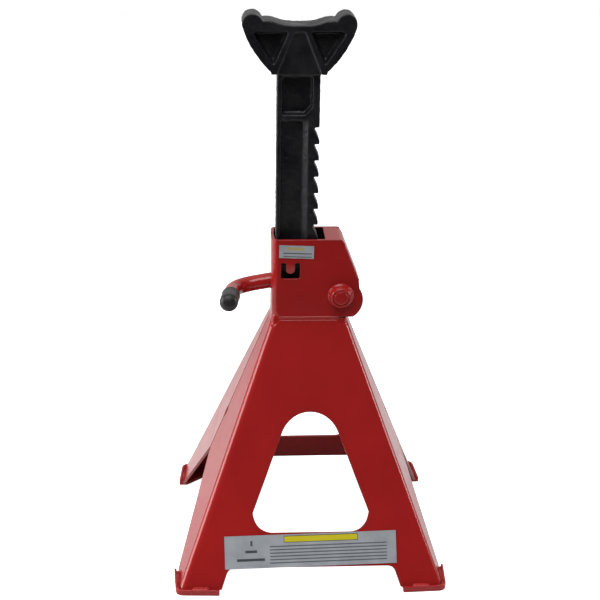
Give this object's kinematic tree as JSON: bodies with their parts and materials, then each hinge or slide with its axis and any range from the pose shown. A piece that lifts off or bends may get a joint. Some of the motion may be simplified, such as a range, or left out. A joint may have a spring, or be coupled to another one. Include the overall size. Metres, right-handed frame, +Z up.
{
  "type": "axle jack stand",
  "caption": "Ratchet axle stand: red pressed-steel base with splayed legs, square tower, toothed cast bar with a curved saddle, and a bent lever with a black grip that works the pawl.",
  "frame": {"origin": "floor level at the centre of the base", "axes": "+Z up, -Y the front with the wide label, +X the side of the pawl's pivot, -X the side of the handle"},
  "size_m": [0.2704, 0.264, 0.5445],
  "materials": {
    "red_enamel": "glossy red enamel over pressed steel",
    "black_casting": "black paint over a rough casting",
    "bare_steel": "oiled steel",
    "black_vinyl": "satin dipped vinyl",
    "label_foil": "silver foil label, no lettering"
  },
  "bodies": {
    "stand": {"front_frame_half": "red_enamel", "back_frame_half": "red_enamel", "left_seam_weld": "red_enamel", "right_seam_weld": "red_enamel", "front_left_foot": "red_enamel", "front_right_foot": "red_enamel", "back_left_foot": "red_enamel", "back_right_foot": "red_enamel", "front_left_foot_weld_end": "red_enamel", "front_left_foot_weld_side": "red_enamel", "front_right_foot_weld_end": "red_enamel", "front_right_foot_weld_side": "red_enamel", "back_left_foot_weld_end": "red_enamel", "back_left_foot_weld_side": "red_enamel", "back_right_foot_weld_end": "red_enamel", "back_right_foot_weld_side": "red_enamel", "pawl_cover": "red_enamel", "bar_guide_lower": "red_enamel", "bar_guide_upper": "red_enamel", "pivot_pin": "red_enamel", "pivot_collar_front": "red_enamel", "pivot_collar_back": "red_enamel", "pivot_spacer_front": "bare_steel", "pivot_spacer_back": "bare_steel", "strap_label": "label_foil", "tower_label": "label_foil"},
    "bar": {"ratchet_bar": "black_casting"},
    "pawl_lever": {"pawl": "black_casting", "handle_rod": "red_enamel", "handle_weld": "red_enamel", "handle_grip": "black_vinyl"}
  },
  "joints": [
    {"name": "bar_slide", "type": "slide", "parent": "stand", "child": "bar", "axis": [0, 0, 1], "range_m": [-0.144, 0.048]},
    {"name": "pawl_pivot", "type": "hinge", "parent": "stand", "child": "pawl_lever", "pos_m": [0.0305, 0, 0.2707], "axis": [0, 1, 0], "range_deg": [0, 24]}
  ]
}
